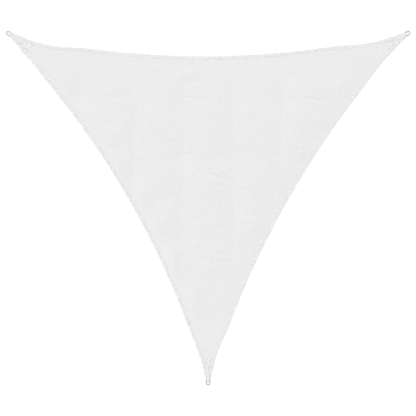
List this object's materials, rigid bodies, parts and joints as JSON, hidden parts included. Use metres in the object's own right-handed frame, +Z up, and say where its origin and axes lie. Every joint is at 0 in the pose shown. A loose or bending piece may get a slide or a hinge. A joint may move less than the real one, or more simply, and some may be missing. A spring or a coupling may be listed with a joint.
{
  "type": "triangular shade sail with corner rings",
  "caption": "Flat triangular shade sail of knitted cloth with bowed-in hemmed edges, narrow webbing-bound tips and a steel D-ring at each corner.",
  "frame": {"origin": "on the ground under the middle of the sail's outer box", "axes": "+Z up out of the face of the flat sail, +Y towards the top edge, +X towards the right ring"},
  "size_m": [3.6369, 3.187, 0.0156],
  "materials": {
    "cloth": "white knitted polyethylene, matt, slightly open",
    "webbing": "white woven polyester webbing, matt",
    "steel": "stainless round wire, lightly brushed"
  },
  "bodies": {
    "root": {"sail_cloth": "cloth", "corner_patch_left": "cloth", "corner_patch_bottom": "cloth", "corner_patch_right": "cloth", "ring_loop_left": "webbing", "ring_loop_bottom": "webbing", "ring_loop_right": "webbing", "d_ring_left": "steel", "d_ring_bottom": "steel", "d_ring_right": "steel"}
  },
  "joints": []
}
